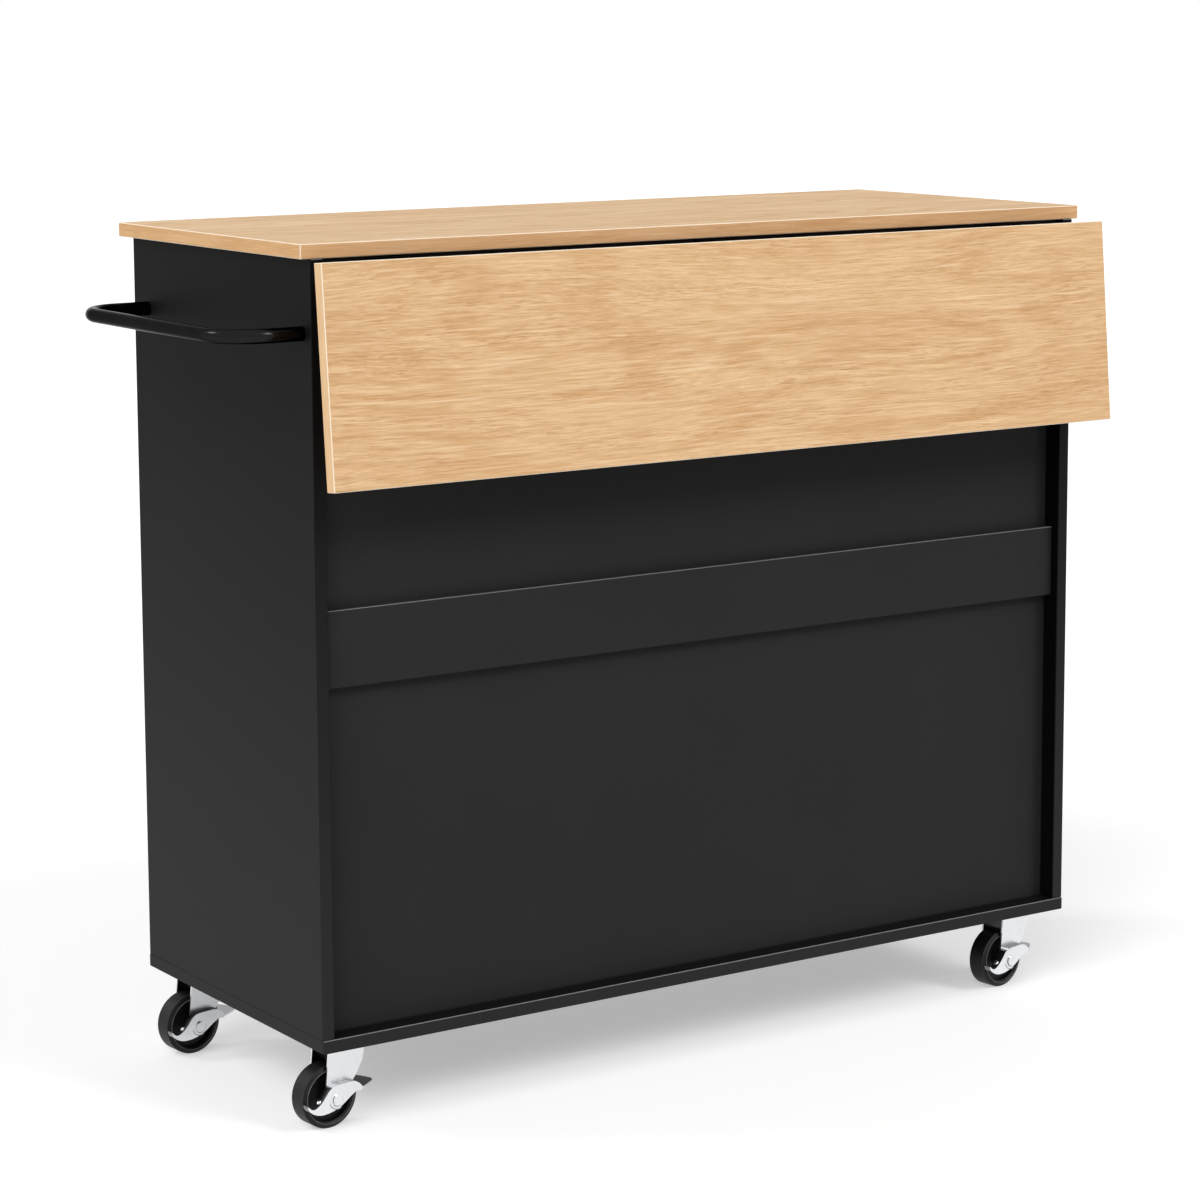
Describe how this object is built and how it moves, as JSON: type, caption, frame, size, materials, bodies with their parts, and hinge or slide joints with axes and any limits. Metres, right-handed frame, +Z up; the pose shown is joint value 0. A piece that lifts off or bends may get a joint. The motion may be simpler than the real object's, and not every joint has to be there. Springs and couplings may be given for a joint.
{
  "type": "drop leaf kitchen island",
  "caption": "Kitchen island cabinet on braked swivel casters, with a hinged drop leaf behind, a towel bar on one end, and drawers over doors at the front.",
  "frame": {"origin": "floor level, under the middle of the whole outline at rest", "axes": "+Z up, +X along the length away from the towel bar, +Y towards the doors and drawers; the leaf is on the -Y side"},
  "size_m": [1.0895, 0.4755, 0.914],
  "materials": {
    "oak_laminate": "light oak grain laminate, satin",
    "charcoal_laminate": "charcoal black laminate, satin",
    "birch_ply": "pale plywood, clear matt",
    "black_coat": "black powder coat, semi-gloss",
    "black_knob": "black paint, satin",
    "zinc_plate": "bright zinc plated sheet",
    "wheel_plastic": "black moulded plastic, satin"
  },
  "bodies": {
    "cabinet": {"worktop": "oak_laminate", "end_panel_left": "charcoal_laminate", "end_panel_right": "charcoal_laminate", "base_board": "charcoal_laminate", "back_panel_upper": "charcoal_laminate", "back_panel_lower": "charcoal_laminate", "back_rail": "charcoal_laminate", "hinge_rail": "charcoal_laminate", "front_rail": "charcoal_laminate", "partition": "charcoal_laminate", "towel_bar": "black_coat", "towel_bar_screws": "zinc_plate", "leaf_hinge_brackets": "black_coat", "leaf_pins": "black_coat", "stay_brackets": "zinc_plate", "drawer_runners": "zinc_plate", "door_hinge_frames": "zinc_plate", "door_hinge_pins": "zinc_plate", "shelf_pins": "zinc_plate", "caster_screws": "zinc_plate", "shelf_left": "charcoal_laminate", "shelf_right": "charcoal_laminate", "caster_back_left_plate": "zinc_plate", "caster_back_right_plate": "zinc_plate", "caster_front_left_plate": "zinc_plate", "caster_front_right_plate": "zinc_plate"},
    "leaf": {"drop_leaf": "oak_laminate", "leaf_hinge_plates": "black_coat", "stay_channels": "zinc_plate"},
    "stay_left": {"leaf_stay_left": "zinc_plate"},
    "stay_right": {"leaf_stay_right": "zinc_plate"},
    "drawer_left": {"drawer_box_left": "birch_ply", "drawer_bottom_left": "birch_ply", "drawer_front_left": "charcoal_laminate", "drawer_knob_left": "black_knob", "drawer_slides_left": "zinc_plate"},
    "drawer_right": {"drawer_box_right": "birch_ply", "drawer_bottom_right": "birch_ply", "drawer_front_right": "charcoal_laminate", "drawer_knob_right": "black_knob", "drawer_slides_right": "zinc_plate"},
    "door_left": {"door_left": "charcoal_laminate", "door_knob_left": "black_knob", "door_hinge_leaves_left": "zinc_plate"},
    "door_right": {"door_right": "charcoal_laminate", "door_knob_right": "black_knob", "door_hinge_leaves_right": "zinc_plate"},
    "caster_back_left": {"caster_back_left_fork": "zinc_plate"},
    "wheel_back_left": {"caster_back_left_wheel": "wheel_plastic"},
    "brake_back_left": {"caster_back_left_brake": "zinc_plate"},
    "caster_back_right": {"caster_back_right_fork": "zinc_plate"},
    "wheel_back_right": {"caster_back_right_wheel": "wheel_plastic"},
    "brake_back_right": {"caster_back_right_brake": "zinc_plate"},
    "caster_front_left": {"caster_front_left_fork": "zinc_plate"},
    "wheel_front_left": {"caster_front_left_wheel": "wheel_plastic"},
    "brake_front_left": {"caster_front_left_brake": "zinc_plate"},
    "caster_front_right": {"caster_front_right_fork": "zinc_plate"},
    "wheel_front_right": {"caster_front_right_wheel": "wheel_plastic"},
    "brake_front_right": {"caster_front_right_brake": "zinc_plate"}
  },
  "joints": [
    {"name": "leaf_hinge", "type": "hinge", "parent": "cabinet", "child": "leaf", "pos_m": [0.03975, -0.19023, 0.885], "axis": [-1, 0, 0], "range_deg": [0, 85]},
    {"name": "stay_left_pivot", "type": "hinge", "parent": "cabinet", "child": "stay_left", "pos_m": [-0.26025, -0.19023, 0.815], "axis": [-1, 0, 0], "range_deg": [0, 118.8]},
    {"name": "stay_right_pivot", "type": "hinge", "parent": "cabinet", "child": "stay_right", "pos_m": [0.33975, -0.19023, 0.815], "axis": [-1, 0, 0], "range_deg": [0, 118.8]},
    {"name": "drawer_left_slide", "type": "slide", "parent": "cabinet", "child": "drawer_left", "axis": [0, 1, 0], "range_m": [0, 0.28]},
    {"name": "drawer_right_slide", "type": "slide", "parent": "cabinet", "child": "drawer_right", "axis": [0, 1, 0], "range_m": [0, 0.28]},
    {"name": "door_left_hinge", "type": "hinge", "parent": "cabinet", "child": "door_left", "pos_m": [-0.43975, 0.21877, 0.42], "axis": [0, 0, 1], "range_deg": [0, 105]},
    {"name": "door_right_hinge", "type": "hinge", "parent": "cabinet", "child": "door_right", "pos_m": [0.51925, 0.21877, 0.42], "axis": [0, 0, -1], "range_deg": [0, 105]},
    {"name": "caster_back_left_swivel", "type": "hinge", "parent": "cabinet", "child": "caster_back_left", "pos_m": [-0.41025, -0.13523, 0.083], "axis": [0, 0, 1], "continuous": true},
    {"name": "wheel_back_left_spin", "type": "hinge", "parent": "caster_back_left", "child": "wheel_back_left", "pos_m": [-0.43217, -0.13715, 0.0335], "axis": [-0.0872, 0.9962, 0], "continuous": true},
    {"name": "brake_back_left_press", "type": "hinge", "parent": "caster_back_left", "child": "brake_back_left", "pos_m": [-0.43217, -0.13715, 0.0335], "axis": [-0.0872, 0.9962, 0], "range_deg": [0, 12]},
    {"name": "caster_back_right_swivel", "type": "hinge", "parent": "cabinet", "child": "caster_back_right", "pos_m": [0.48975, -0.13523, 0.083], "axis": [0, 0, 1], "continuous": true},
    {"name": "wheel_back_right_spin", "type": "hinge", "parent": "caster_back_right", "child": "wheel_back_right", "pos_m": [0.46796, -0.13829, 0.0335], "axis": [-0.1392, 0.9903, 0], "continuous": true},
    {"name": "brake_back_right_press", "type": "hinge", "parent": "caster_back_right", "child": "brake_back_right", "pos_m": [0.46796, -0.13829, 0.0335], "axis": [-0.1392, 0.9903, 0], "range_deg": [0, 12]},
    {"name": "caster_front_left_swivel", "type": "hinge", "parent": "cabinet", "child": "caster_front_left", "pos_m": [-0.41025, 0.17077, 0.083], "axis": [0, 0, 1], "continuous": true},
    {"name": "wheel_front_left_spin", "type": "hinge", "parent": "caster_front_left", "child": "wheel_front_left", "pos_m": [-0.43217, 0.16885, 0.0335], "axis": [-0.0872, 0.9962, 0], "continuous": true},
    {"name": "brake_front_left_press", "type": "hinge", "parent": "caster_front_left", "child": "brake_front_left", "pos_m": [-0.43217, 0.16885, 0.0335], "axis": [-0.0872, 0.9962, 0], "range_deg": [0, 12]},
    {"name": "caster_front_right_swivel", "type": "hinge", "parent": "cabinet", "child": "caster_front_right", "pos_m": [0.48975, 0.17077, 0.083], "axis": [0, 0, 1], "continuous": true},
    {"name": "wheel_front_right_spin", "type": "hinge", "parent": "caster_front_right", "child": "wheel_front_right", "pos_m": [0.46796, 0.16771, 0.0335], "axis": [-0.1392, 0.9903, 0], "continuous": true},
    {"name": "brake_front_right_press", "type": "hinge", "parent": "caster_front_right", "child": "brake_front_right", "pos_m": [0.46796, 0.16771, 0.0335], "axis": [-0.1392, 0.9903, 0], "range_deg": [0, 12]}
  ],
  "couplings": [
    {"joint": "stay_left_pivot", "follows": "leaf_hinge", "ratio": 1.395},
    {"joint": "stay_right_pivot", "follows": "leaf_hinge", "ratio": 1.395}
  ]
}
